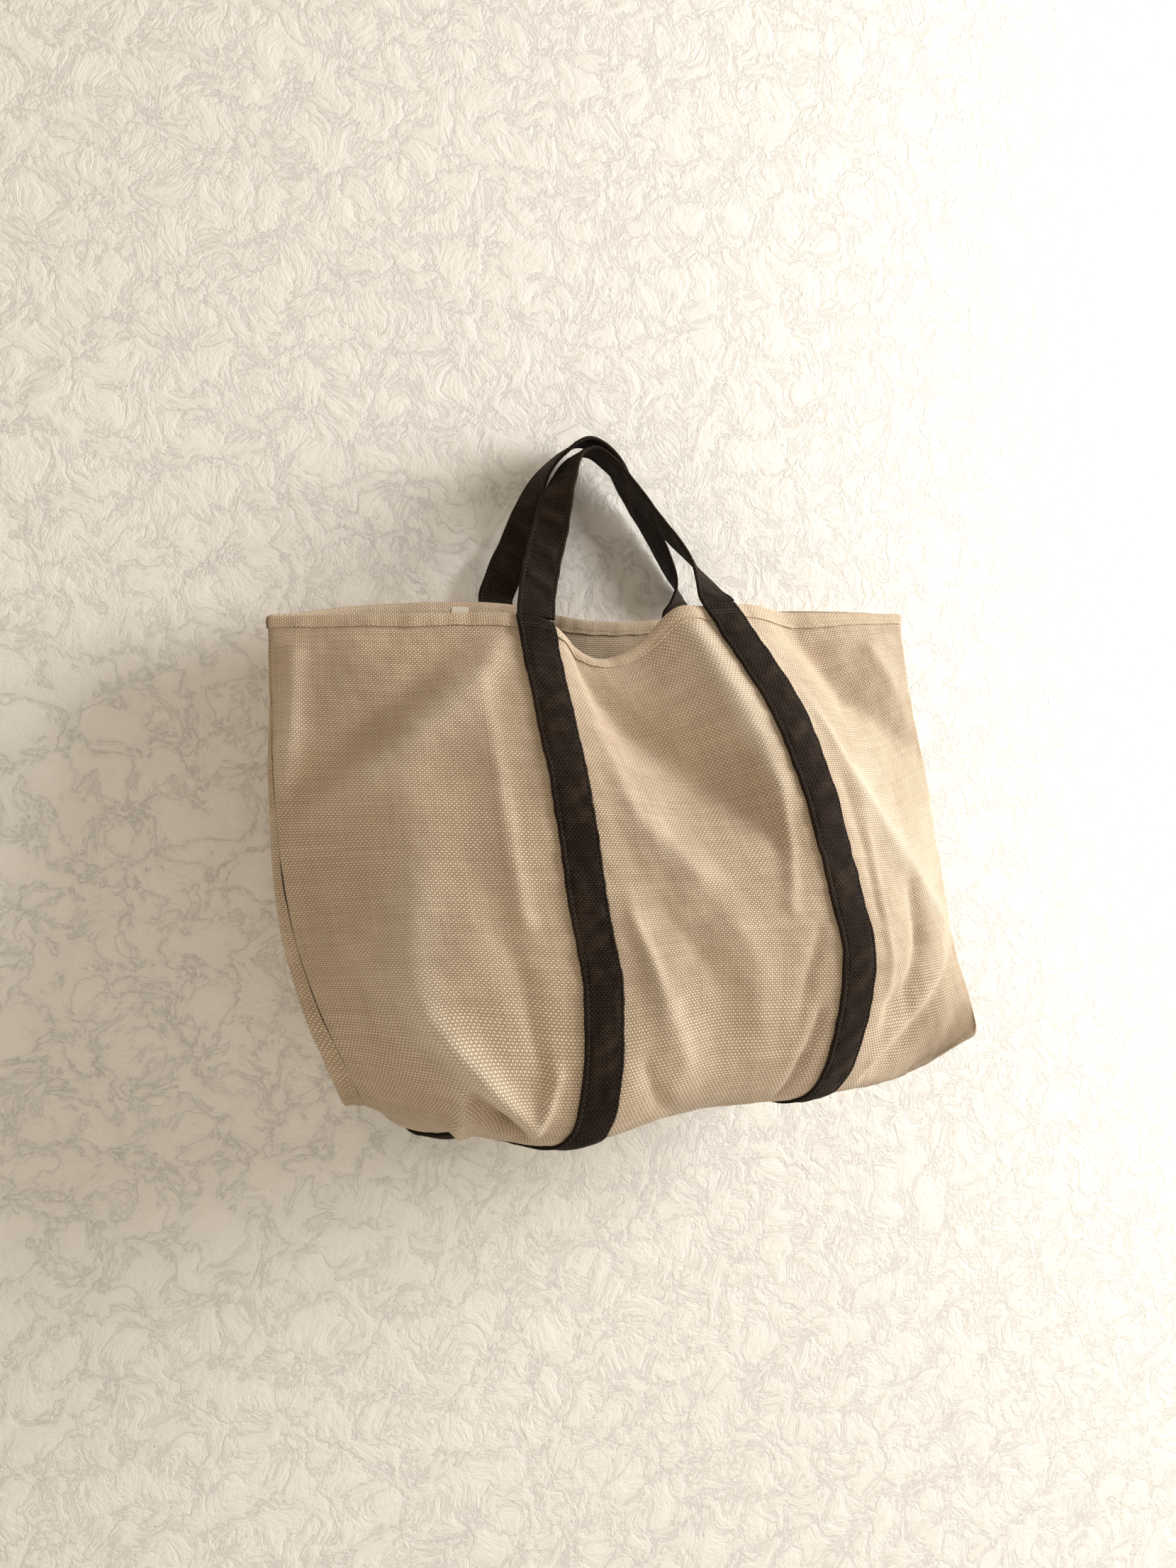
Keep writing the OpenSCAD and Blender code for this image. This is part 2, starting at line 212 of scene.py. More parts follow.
# The slack right corner leans forward, against LEAN_WAY, as one flat flap. Its crease crosses the
# cloth at CREASE_AT, in millimetres of cloth, and CREASE_OUT points from it to the corner.
CREASE_AT = (120, 291)
CREASE_OUT = (0.447, 0.894)
CREASE_ROUNDING = 3
CREASE_REACH = (-60, 90)
LEAN = 0.41
LEAN_STOP = 64
LEAN_STOP_ROUNDING = 5
LEAN_FROM_U = 0.40
LEAN_FADE_U = 0.22
LEAN_WAY = np.array([0.55, 0.82, -0.18])


def corner_lean(u, t):
    """How far the slack corner leans, in metres: both panels alike, so that the seam holds."""
    t = np.minimum(t, END_T - t)
    past = ((u * HALF_WIDTH / MM - CREASE_AT[0]) * CREASE_OUT[0]
            + (t * ROW / MM - CREASE_AT[1]) * CREASE_OUT[1])
    past = CREASE_ROUNDING * np.log1p(np.exp(np.clip(past, *CREASE_REACH) / CREASE_ROUNDING))
    left = np.exp((LEAN_STOP - past) / LEAN_STOP_ROUNDING)
    past = LEAN_STOP - LEAN_STOP_ROUNDING * np.log1p(left)
    return LEAN * MM * past * ease((u - LEAN_FROM_U) / LEAN_FADE_U)


def smooth_point(side, u, t):
    """A point of the cloth without its folds."""
    net = NETS[side]
    column, across = knot_weights(3 * (u + 1), 6)
    row, down = knot_weights(t, END_T)
    point = 0
    for a in range(4):
        for b in range(4):
            share = down[..., a] * across[..., b]
            point = point + share[..., None] * net[row + a, column + b]
    point[..., 2] += mouth_wave(u, t)
    return point - corner_lean(u, t)[..., None] * LEAN_WAY


def unit(v):
    return v / np.linalg.norm(v, axis=-1, keepdims=True)


# Next to a side seam the panel's outward way is taken from this far in, where it is steady.
STEADY_U = 0.985


def outward(point_at, side, u, t, step=0.01):
    """The way out of the cloth, for the surface that point_at gives."""
    v = np.clip(u, -STEADY_U, STEADY_U)
    per_u = point_at(side, v + step, t) - point_at(side, v - step, t)
    per_t = point_at(side, v, t + step) - point_at(side, v, t - step)
    return unit(np.cross(per_t, per_u))


# Under a strap the folds are held flat, and from this far off they are free.
HELD_U = 13.5 * MM / HALF_WIDTH
FREE_U = 40 * MM / HALF_WIDTH


def beside_strap(u):
    """u, held at a strap's middle under its width, so that the cloth is flat under a strap."""
    for middle in (-STRAP_U, STRAP_U):
        off = np.abs(u - middle)
        pulled = np.clip((off - HELD_U) / (FREE_U - HELD_U), 0, 1) * FREE_U
        u = np.where(off < FREE_U, middle + np.sign(u - middle) * pulled, u)
    return u


def fold_height(u, t):
    """How far the folds stand out, in metres."""
    x, y = beside_strap(u) * HALF_WIDTH / MM, t * ROW / MM
    total = np.zeros(np.broadcast(x, y).shape)
    for line in FOLDS:
        largest = np.zeros_like(total)
        for (u0, t0, h0, w0), (u1, t1, h1, w1) in zip(line, line[1:]):
            ax, ay = u0 * HALF_WIDTH / MM, t0 * ROW / MM
            bx, by = u1 * HALF_WIDTH / MM, t1 * ROW / MM
            length2 = (bx - ax) ** 2 + (by - ay) ** 2
            s = np.clip(((x - ax) * (bx - ax) + (y - ay) * (by - ay)) / length2, 0, 1)
            off2 = (x - ax - s * (bx - ax)) ** 2 + (y - ay - s * (by - ay)) ** 2
            off2 = off2 / (w0 + (w1 - w0) * s) ** 2
            slope = np.sqrt(off2 + CREST_ROUNDING) - math.sqrt(CREST_ROUNDING)
            value = (h0 + (h1 - h0) * s) * np.exp(-FLANK_FALL * slope - FLANK_END * off2)
            largest = np.where(np.abs(value) > np.abs(largest), value, largest)
        total += largest
    return total * MM * ease((1 - np.abs(u)) * HALF_WIDTH / SEAM_FADE)


def ripple(x, y, seed, size):
    """Soft uneven waves, about -1 to 1, of roughly the given size in metres."""
    total = 0
    for k in range(5):
        angle = seed * 1.7 + k * 2.399
        stretch = 1 + 0.23 * ((seed * 3 + k * 5) % 7)
        wave = (x * math.cos(angle) + y * math.sin(angle)) / size * stretch
        total = total + np.sin(2 * math.pi * wave + seed * 2.1 + k * 1.3) / 3
    return total


def small_waves(u, t):
    """Shallow unevenness all over, and puckers along the straps' edges and under the hems."""
    x, y = u * HALF_WIDTH, t * ROW
    total = 0.45 * MM * ripple(x, y, 3, 0.07) + 0.22 * MM * ripple(x, y, 8, 0.028)
    edge = np.minimum(np.abs(u - STRAP_U), np.abs(u + STRAP_U)) * HALF_WIDTH - 13 * MM
    beside = np.exp(-np.maximum(edge, 0) / (9 * MM)) * (edge > -0.5 * MM)
    total = total + 0.4 * MM * beside * ripple(0.4 * x, y, 5, 0.02)
    below = np.minimum(t, END_T - t) * ROW - HEM_HEIGHT
    total = total + 0.3 * MM * np.exp(-np.abs(below) / (7 * MM)) * ripple(x, 0.3 * y, 6, 0.017)
    return total


# In millimetres: how far the cloth turns in at a side seam, and the back panel's bulge beside the
# left seam, which grows from its hem down over some rows.
ROLL_IN = 3.4
ROLL_WIDTH = 2.8
BULGE_AT_HEM = 3.5
BULGE_GROWTH = 6.5
BULGE_ROWS = 4
BULGE_MIDDLE = 9
BULGE_WIDTH = 5.5


def seam_roll(side, u, t):
    """At a side seam the cloth turns in, and the back panel stands out beside the left one."""
    off = (1 - np.abs(u)) * HALF_WIDTH / MM
    turned_in = ROLL_IN * bell(off, 0, ROLL_WIDTH)
    if side < 0:
        return -np.sign(u) * turned_in * MM
    bulge = BULGE_AT_HEM + BULGE_GROWTH * ease((END_T - t) / BULGE_ROWS)
    stands_out = np.where(u < 0, bulge, 0) * bell(off, BULGE_MIDDLE, BULGE_WIDTH)
    return np.sign(u) * (stands_out - turned_in) * MM


def cloth_point(side, u, t):
    """Middle of the canvas, with its folds."""
    height = fold_height(u, t) + small_waves(u, t)
    point = smooth_point(side, u, t) + outward(smooth_point, side, u, t) * height[..., None]
    point[..., 0] += seam_roll(side, u, t)
    return point


def place(side, u, t, height):
    """A point raised from the middle of the canvas."""
    u, t, height = np.broadcast_arrays(*(np.asarray(v, float) for v in (u, t, height)))
    return cloth_point(side, u, t) + outward(cloth_point, side, u, t) * height[..., None]


# ---- Materials ----

class Value:
    """A number over a surface, worked out by nodes, so that a pattern can be written as a sum."""

    def __init__(self, tree, socket):
        self.tree = tree
        self.socket = socket

    def math(self, operation, *others, first=None):
        node = self.tree.nodes.new("ShaderNodeMath")
        node.operation = operation
        terms = (self, *others) if first is None else (first, self)
        for entry, term in zip(node.inputs, terms):
            if isinstance(term, Value):
                self.tree.links.new(term.socket, entry)
            else:
                entry.default_value = term
        return Value(self.tree, node.outputs[0])

    def __add__(self, other):
        return self.math("ADD", other)

    def __mul__(self, other):
        return self.math("MULTIPLY", other)

    def __sub__(self, other):
        return self.math("SUBTRACT", other)

    def __rsub__(self, other):
        return self.math("SUBTRACT", first=other)

    def __pow__(self, other):
        return self.math("POWER", other)

    def clamped(self):
        return self.math("MAXIMUM", 0.0).math("MINIMUM", 1.0)


def noise(x, y, scale, **settings):
    """Noise at the point (x, y) of the cloth."""
    tree = x.tree
    join = tree.nodes.new("ShaderNodeCombineXYZ")
    tree.links.new(x.socket, join.inputs[0])
    tree.links.new(y.socket, join.inputs[1])
    node = tree.nodes.new("ShaderNodeTexNoise")
    tree.links.new(join.outputs[0], node.inputs["Vector"])
    node.inputs["Scale"].default_value = scale
    for name, value in settings.items():
        node.inputs[name].default_value = value
    return Value(tree, node.outputs[0])


def new_material(name):
    material = bpy.data.materials.new(name)
    material.use_nodes = True
    tree = material.node_tree
    return material, tree, tree.nodes["Principled BSDF"]


def mix_colour(tree, factor, low, high, blend="MIX"):
    node = tree.nodes.new("ShaderNodeMix")
    node.data_type = "RGBA"
    node.blend_type = blend
    for entry, value in zip((0, 6, 7), (factor, low, high)):
        if isinstance(value, Value):
            tree.links.new(value.socket, node.inputs[entry])
        elif isinstance(value, tuple):
            node.inputs[entry].default_value = (*value, 1)
        elif isinstance(value, bpy.types.NodeSocket):
            tree.links.new(value, node.inputs[entry])
        else:
            node.inputs[entry].default_value = value
    return node.outputs[2]


def cloth_uv(tree):
    """The place on the cloth, in metres: across the panel and down it."""
    uv = tree.nodes.new("ShaderNodeUVMap")
    uv.uv_map = "Cloth"
    split = tree.nodes.new("ShaderNodeSeparateXYZ")
    tree.links.new(uv.outputs[0], split.inputs[0])
    return Value(tree, split.outputs[0]), Value(tree, split.outputs[1])


def add_bump(tree, shader, height, distance):
    bump = tree.nodes.new("ShaderNodeBump")
    bump.inputs["Strength"].default_value = 1.0
    bump.inputs["Distance"].default_value = distance
    tree.links.new(height.socket, bump.inputs["Height"])
    tree.links.new(bump.outputs[0], shader.inputs["Normal"])


# The weave: how far the threads wander (in threads), how round they are, how high they lie and how
# far they rise and sink from there, and how high the warp stands against the weft.
DRIFT_SCALE = 45
WARP_DRIFT = 0.9
WEFT_DRIFT = 0.7
ROUNDNESS = 0.55
THREAD_MIDDLE = 0.58
THREAD_RISE = 0.42
WARP_HEIGHT = 0.58
# A thread changes its tone along its length. The two scales keep warp and weft apart.
TONE_ALONG = 25
WARP_TONE_SCALE = 0.73
WEFT_TONE_SCALE = 0.61
FIBRE_SCALE = 2600
PATCH_SCALE = 14
SOIL_FROM = 0.42
SOIL_SHARPNESS = 5


def woven(name, colour, painted_gap_shade, worn_and_fold_highlight, pitch, relief, roughness=0.92, mottle=0.10, sheen=0.12):
    """Plain-woven cloth: round threads over and under each other, uneven in height and tone."""
    material, tree, shader = new_material(name)
    x, y = cloth_uv(tree)
    drift = noise(x, y, DRIFT_SCALE) - 0.5
    warp_x = x * (1 / pitch[0]) + drift * WARP_DRIFT
    weft_y = y * (1 / pitch[1]) + drift * WEFT_DRIFT
    warp_number, weft_number = warp_x.math("FLOOR"), weft_y.math("FLOOR")

    def thread(across, along, number, phase):
        top = (across * math.pi).math("SINE").math("ABSOLUTE") ** ROUNDNESS
        over = ((along + number + phase) * math.pi).math("SINE") * THREAD_RISE + THREAD_MIDDLE
        return top * over

    warp = thread(warp_x, weft_y, warp_number, 0) * WARP_HEIGHT
    weft = thread(weft_y, warp_x, weft_number, 1)
    height = warp.math("MAXIMUM", weft)
    warp_tone = noise(warp_number, y * TONE_ALONG, WARP_TONE_SCALE, Detail=1.0)
    weft_tone = noise(weft_number, x * TONE_ALONG, WEFT_TONE_SCALE, Detail=1.0)
    on_top = warp.math("GREATER_THAN", weft)
    tone = warp_tone * on_top + weft_tone * (1 - on_top)
    fibre = noise(x, y, FIBRE_SCALE, Detail=2.0)
    patches = noise(x, y, PATCH_SCALE, Detail=5.0, Roughness=0.6)
    wear_and_painted_fold_shade = tree.nodes.new("ShaderNodeAttribute")
    wear_and_painted_fold_shade.attribute_name = "wear_and_painted_fold_shade"
    # The colour runs from the gap colour, a painted shade in the hollows between the threads, up to
    # the thread colour on their raised tops, with each thread's tone and the fibre.
    lit = height * 1.55 - 0.50 + (tone - 0.5) * 0.65 + (fibre - 0.5) * 0.4
    cloth = mix_colour(tree, lit.clamped(), painted_gap_shade, colour)
    # The pale colour goes where the point attribute and random patches say. On the straps it is
    # real wear; on the canvas it is also a painted highlight on the fold ridges.
    rubbed_and_fold_highlight = (Value(tree, wear_and_painted_fold_shade.outputs["Fac"]) + (patches - 0.5) * (mottle * 6)) * height
    cloth = mix_colour(tree, rubbed_and_fold_highlight.clamped(), cloth, worn_and_fold_highlight)
    soil = ((patches - SOIL_FROM) * SOIL_SHARPNESS).clamped()
    shade = mix_colour(tree, soil, (1 - mottle,) * 3, (1.0, 1.0, 1.0))
    tree.links.new(mix_colour(tree, 1.0, cloth, shade, "MULTIPLY"), shader.inputs["Base Color"])
    add_bump(tree, shader, height + (fibre - 0.5) * 0.25 + (tone - 0.5) * 0.4, relief)
    shader.inputs["Roughness"].default_value = roughness
    shader.inputs["Sheen Weight"].default_value = sheen
    shader.inputs["Sheen Roughness"].default_value = 0.5
    shader.inputs["Specular IOR Level"].default_value = 0.12
    return material


PLIES_PER_METRE = 2200
PLY_SLANT = 6.0


def twisted_thread(name, colour, ply_groove_shade):
    """Sewing thread: plies that wind round it, seen as fine slanting lines."""
    material, tree, shader = new_material(name)
    x, y = cloth_uv(tree)
    ply = ((x * PLIES_PER_METRE + y * PLY_SLANT) * math.pi).math("SINE").math("ABSOLUTE")
    # The darker colour is painted shade in the grooves between the plies.
    tree.links.new(mix_colour(tree, ply, ply_groove_shade, colour), shader.inputs["Base Color"])
    add_bump(tree, shader, ply, 0.08 * MM)
    shader.inputs["Roughness"].default_value = 0.75
    return material


DUCK_PITCH = (1.15 * MM, 1.35 * MM)
MATERIALS = {
    "canvas": woven("Canvas", (0.85, 0.71, 0.535), (0.36, 0.255, 0.165), (0.92, 0.82, 0.67),
                    DUCK_PITCH, 0.45 * MM),
    "hem": woven("Hem", (0.83, 0.70, 0.53), (0.40, 0.29, 0.19), (0.90, 0.81, 0.67),
                 DUCK_PITCH, 0.34 * MM),
    "strap": woven("Strap", (0.052, 0.032, 0.019), (0.003, 0.002, 0.0015), (0.135, 0.086, 0.054),
                   (1.25 * MM, 1.45 * MM), 0.55 * MM, 0.95, 0.18, 0.02),
    "binding": woven("Binding", (0.55, 0.43, 0.31), (0.33, 0.24, 0.16), (0.6, 0.5, 0.4),
                     (0.6 * MM, 0.8 * MM), 0.15 * MM),
    "label": woven("Label", (0.76, 0.70, 0.58), (0.55, 0.48, 0.38), (0.82, 0.78, 0.70),
                   (0.35 * MM, 0.45 * MM), 0.06 * MM, 0.7, 0.05),
    "thread": twisted_thread("PaleThread", (0.70, 0.58, 0.44), (0.42, 0.32, 0.22)),
    "strap_thread": twisted_thread("DarkThread", (0.050, 0.032, 0.021), (0.012, 0.008, 0.006)),
}


# ---- Meshes ----

def add_piece(name, points, faces, corner_uv, slot, replaced=(), wear_and_painted_fold_shade=None):
    """A closed mesh piece, turned the right way out, with its place on the cloth as its UV map."""
    mesh = bpy.data.meshes.new(name)
    mesh.from_pydata(points.tolist(), [], [list(map(int, f)) for f in faces])
    layer = mesh.uv_layers.new(name="Cloth")
    layer.data.foreach_set("uv", np.asarray(corner_uv, np.float32).ravel())
    attribute = mesh.attributes.new("wear_and_painted_fold_shade", "FLOAT", "POINT")
    if wear_and_painted_fold_shade is not None:
        attribute.data.foreach_set("value", np.asarray(wear_and_painted_fold_shade, np.float32).ravel())
    mesh.shade_smooth()
    mesh.update()
    mesh.materials.append(MATERIALS[slot])
    piece = bpy.data.objects.new(name, mesh)
    bpy.context.scene.collection.objects.link(piece)
    if replaced:
        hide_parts(*replaced)
    return piece


def signed_volume(points, quads):
    a, b, c, d = (points[quads[:, k]] for k in range(4))
    return (np.einsum("ij,ij->", a, np.cross(b, c)) + np.einsum("ij,ij->", a, np.cross(c, d))) / 6


def grid_quads(rows, columns, start=0):
    i = np.arange(rows - 1)[:, None] * columns + np.arange(columns - 1)[None, :] + start
    return np.stack([i, i + columns, i + columns + 1, i + 1], axis=-1).reshape(-1, 4)


def sheet_piece(name, outer, inner, uv, slot, replaced=(), wear_and_painted_fold_shade=None):
    """A closed sheet between two grids of points."""
    rows, columns = outer.shape[:2]
    count = rows * columns
    points = np.concatenate([outer.reshape(-1, 3), inner.reshape(-1, 3)])
    flat_uv = np.tile(uv.reshape(-1, 2), (2, 1))
    ids = np.arange(count).reshape(rows, columns)
    border = np.concatenate([ids[0], ids[1:, -1], ids[-1, -2::-1], ids[-2:0:-1, 0]])
    following = np.roll(border, -1)
    rim = np.stack([border, following, following + count, border + count], axis=-1)
    quads = np.concatenate([grid_quads(rows, columns), grid_quads(rows, columns, count)[:, ::-1],
                            rim])
    corner_uv = flat_uv[quads]
    if signed_volume(points, quads) < 0:
        quads, corner_uv = quads[:, ::-1], corner_uv[:, ::-1]
    both = None if wear_and_painted_fold_shade is None else np.tile(wear_and_painted_fold_shade.ravel(), 2)
    return add_piece(name, points, quads, corner_uv, slot, replaced, both)


def tube_piece(name, rings, around, along, slot, replaced=(), wear_and_painted_fold_shade=None):
    """A closed tube through rings of points. around is the way round a ring, along the way on."""
    count, sides = rings.shape[:2]
    points = rings.reshape(-1, 3)
    ring = np.arange(count - 1)[:, None] * sides
    side = np.arange(sides)[None, :]
    following = (side + 1) % sides
    quads = np.stack([ring + side, ring + following, ring + sides + following, ring + sides + side],
                     axis=-1).reshape(-1, 4)
    a0 = np.broadcast_to(around[:-1], (count - 1, sides))
    a1 = np.broadcast_to(around[1:], (count - 1, sides))
    l0 = np.broadcast_to(along[:-1, None], (count - 1, sides))
    l1 = np.broadcast_to(along[1:, None], (count - 1, sides))
    corner_uv = np.stack([np.stack([a0, l0], -1), np.stack([a1, l0], -1), np.stack([a1, l1], -1),
                          np.stack([a0, l1], -1)], axis=-2).reshape(-1, 4, 2)
    start, end = list(range(sides))[::-1], list(range(len(points) - sides, len(points)))
    if signed_volume(points, quads) < 0:
        quads, corner_uv = quads[:, ::-1], corner_uv[:, ::-1]
        start, end = start[::-1], end[::-1]
    faces = quads.tolist() + [start, end]
    flat_uv = np.concatenate([corner_uv.reshape(-1, 2), np.zeros((2 * sides, 2))])
    return add_piece(name, points, faces, flat_uv, slot, replaced, wear_and_painted_fold_shade)


# Rings along one stitch: (place along its half length, lift and size in radii of the thread).
STITCH_RINGS = np.array([(-1.0, -0.9, 0.35), (-0.72, -0.1, 0.9), (0.0, 0.15, 1.0),
                         (0.72, -0.1, 0.9), (1.0, -0.9, 0.35)])
STITCH_SIDES = 6
STITCH_FLATNESS = 0.8


def length_along(points):
    """The length along a line of points, at each of them."""
    return np.concatenate([[0], np.cumsum(np.linalg.norm(np.diff(points, axis=0), axis=1))])


def along_run(wanted, at, values):
    """The rows of values, given at the lengths in at, read at the lengths wanted."""
    return np.stack([np.interp(wanted, at, values[:, k]) for k in range(3)], -1)


def stitches_piece(name, runs, slot, length, pitch, radius, replaced=()):
    """Thread along runs of points: one small rounded stitch after another, ends in the cloth."""
    centres, ways, ups = [], [], []
    for points, normals in runs:
        at = length_along(points)
        wanted = np.arange(pitch / 2, at[-1] - pitch / 2, pitch)
        centres.append(along_run(wanted, at, points))
        ways.append(unit(along_run(wanted + length / 2, at, points)
                         - along_run(wanted - length / 2, at, points)))
        ups.append(unit(along_run(wanted, at, normals)))
    centre, way, up = (np.concatenate(v)[:, None, None, :] for v in (centres, ways, ups))
    across = unit(np.cross(up, way))
    angle = np.arange(STITCH_SIDES) * 2 * math.pi / STITCH_SIDES
    rings = STITCH_RINGS
    forward = (rings[:, 0] * length / 2)[None, :, None, None]
    lift = (rings[:, 1] * radius)[None, :, None, None]
    wide = (rings[:, 2:3] * radius * np.cos(angle))[None, :, :, None]
    high = (rings[:, 2:3] * radius * STITCH_FLATNESS * np.sin(angle))[None, :, :, None]
    points = centre + way * forward + across * wide + up * (lift + high)
    count, levels, sides = points.shape[:3]
    ids = np.arange(levels * sides).reshape(levels, sides)
    following = np.roll(ids, -1, axis=1)
    quads = np.stack([ids[:-1], following[:-1], following[1:], ids[1:]], -1).reshape(-1, 4)
    caps = [ids[0][::-1], ids[-1]]
    uv_of = np.stack(np.broadcast_arrays((rings[:, 0] * length / 2)[:, None],
                                         (angle / 6.3)[None, :]), -1).reshape(-1, 2)
    flat = points.reshape(count, -1, 3)
    if signed_volume(flat[0], quads) < 0:
        quads, caps = quads[:, ::-1], [c[::-1] for c in caps]
    faces = []
    for start in range(0, count * levels * sides, levels * sides):
        faces += (quads + start).tolist() + [(c + start).tolist() for c in caps]
    one_uv = np.concatenate([uv_of[quads].reshape(-1, 2), uv_of[caps[0]], uv_of[caps[1]]])
    corner_uv = np.tile(one_uv, (count, 1))
    return add_piece(name, flat.reshape(-1, 3), faces, corner_uv, slot, replaced)


# ---- The canvas ----

def edged(first, last, step, edge_steps):
    """Values from first to last, closer together at both ends."""
    ends = np.cumsum(edge_steps)
    count = int(round((last - first - 2 * ends[-1]) / step))
    middle = np.linspace(first + ends[-1], last - ends[-1], count + 1)
    return np.concatenate([[first], first + ends[:-1], middle, last - ends[:-1][::-1], [last]])


CANVAS_STEP = 2.4 * MM
CANVAS_ROW_STEP = 2.3 * MM
CANVAS_EDGE_STEPS = np.array([0.5, 0.5, 0.6, 0.8, 1.0, 1.2, 1.4, 1.6, 1.8]) * MM


def canvas_piece(name, side, t_from, t_to):
    """A panel of canvas, with a painted highlight on its fold ridges and painted shade in its fold
    valleys.
    """
    u = edged(-1, 1, CANVAS_STEP / HALF_WIDTH, CANVAS_EDGE_STEPS / HALF_WIDTH)
    t = np.linspace(t_from, t_to, int(abs(t_to - t_from) * ROW / CANVAS_ROW_STEP))
    grid_u, grid_t = np.meshgrid(u, t)
    middle = cloth_point(side, grid_u, grid_t)
    normal = outward(cloth_point, side, grid_u, grid_t)
    uv = np.stack([grid_u * HALF_WIDTH, grid_t * ROW], -1)
    # Painted highlight on the folds' ridges and painted shade in their valleys, by the folds'
    # height.
    wear_and_painted_fold_shade = np.clip(fold_height(grid_u, grid_t) / (14 * MM), -0.4, 0.6)
    return sheet_piece(name + "_cloth", middle + normal * CANVAS_FACE,
                       middle - normal * CANVAS_FACE, uv, "canvas", [name], wear_and_painted_fold_shade)


HEM_GAP_T = 1.8 * MM / ROW
front_panel = canvas_piece("front_panel", -1, HEM_GAP_T, BASE_T)
back_panel = canvas_piece("back_panel", 1, BASE_T, END_T - HEM_GAP_T)

# ---- The hems ----

# Half the section of the folded hem: (how far below the mouth's edge, how far out of the canvas's
# middle), in millimetres, from the lower edge of its outer face up to the mouth's edge.
HEM_OUTER = [(8.0, 0.75), (8.6, 1.05), (8.7, 1.55), (8.1, 1.95), (7.4, 1.8), (6.8, 1.6),
             (6.2, 1.8), (5.4, 2.05), (4.3, 2.2), (3.1, 2.2), (1.8, 2.1), (0.5, 1.9), (-0.5, 1.3),
             (-1.0, 0.5)]
HEM_LINING = [(1.6, -0.4), (1.6, 0.4), (3.0, 0.72)]
HEM_EDGE_STEPS = np.array([0.6, 0.8, 1.0, 1.4, 1.8]) * MM
# The flat of the hem is softly uneven, and its lower edge waves up and down.
HEM_FLAT_MIDDLE = 3.9 * MM
HEM_FLAT_HALF = 3.2 * MM
HEM_WAVED_FROM = 6 * MM
HEM_STITCH_DOWN = 6.8 * MM
HEM_STITCH_OUT = 1.62 * MM
HEM_STITCH_END_U = 0.985


def length_round(section):
    """The length round a closed section, at each of its points and back at the first."""
    return length_along(np.concatenate([section, section[:1]]))


def hem_piece(name, side, edge_t, step):
    """The folded hem of a panel. Its inner side is pressed thin at the side seams."""
    section = np.array(HEM_OUTER + [(down, -out) for down, out in HEM_OUTER[::-1]]
                       + [(3.0, -0.72), *HEM_LINING]) * MM
    down, out = section.T
    u = edged(-1, 1, 2.0 * MM / HALF_WIDTH, HEM_EDGE_STEPS / HALF_WIDTH)
    x = u[:, None] * HALF_WIDTH
    squeezed = 0.35 + 0.65 * ease((1 - np.abs(u)) / 0.05)[:, None]
    flat = np.abs(down - HEM_FLAT_MIDDLE) < HEM_FLAT_HALF
    bulge = 0.12 * MM * ripple(x, down * 2, 11 + side, 0.011) * flat
    out = np.where(out < 0, out * squeezed, out) + np.sign(out) * bulge
    waved = down + 0.35 * MM * ripple(x, 0 * x, 4 + side, 0.03) * (down > HEM_WAVED_FROM)
    rings = place(side, u[:, None], edge_t + step * waved / ROW, out)
    return tube_piece(name + "_fold", rings, length_round(section), u * HALF_WIDTH, "hem", [name])


def hem_stitches(name, side, edge_t, step):
    """The topstitching of a hem, seen from outside and from inside."""
    u = np.linspace(-HEM_STITCH_END_U, HEM_STITCH_END_U, 700)
    t = edge_t + step * HEM_STITCH_DOWN / ROW
    runs = []
    for face in (1, -1):
        points = place(side, u, t, face * HEM_STITCH_OUT)
        runs.append((points, outward(cloth_point, side, u, np.full_like(u, t)) * face))
    return stitches_piece(name, runs, "thread", 2.6 * MM, 3.5 * MM, 0.27 * MM)


front_hem = hem_piece("front_hem", -1, 0, 1)
back_hem = hem_piece("back_hem", 1, END_T, -1)
front_hem_stitches = hem_stitches("front_hem_stitches", -1, 0, 1)
back_hem_stitches = hem_stitches("back_hem_stitches", 1, END_T, -1)

# ---- Straps and handles ----

# Half the outline of a strap's section: (across, out) in millimetres, with thick folded edges and
# a groove along each line of stitches.
STRAP_SECTION = [(12.5, 0.0), (12.35, 0.75), (11.8, 1.2), (11.1, 1.25), (10.4, 1.1), (9.7, 0.8),
                 (9.0, 1.0), (8.0, 1.15), (6.0, 1.2), (4.0, 1.22), (2.0, 1.25), (0.0, 1.25)]
UPPER = STRAP_SECTION + [(-a, h) for a, h in STRAP_SECTION[-2::-1]]
FULL_SECTION = np.array(UPPER + [(a, -h) for a, h in UPPER[-2:0:-1]]) * MM
STITCH_OUT = 0.85 * MM
STRAP_STITCH = (2.7 * MM, 3.6 * MM, 0.30 * MM)
# A strap is worn pale on the crests of its puckers and along its folded edges.
CREST_WEAR = 0.28
EDGE_WEAR = 0.12
EDGE_WEAR_FROM = 10.8 * MM
# The long smooth and the short sharp puckers: (height, length), in metres.
LONG_PUCKER = (0.62 * MM, 0.030)
SHORT_PUCKER = (0.28 * MM, 0.013)


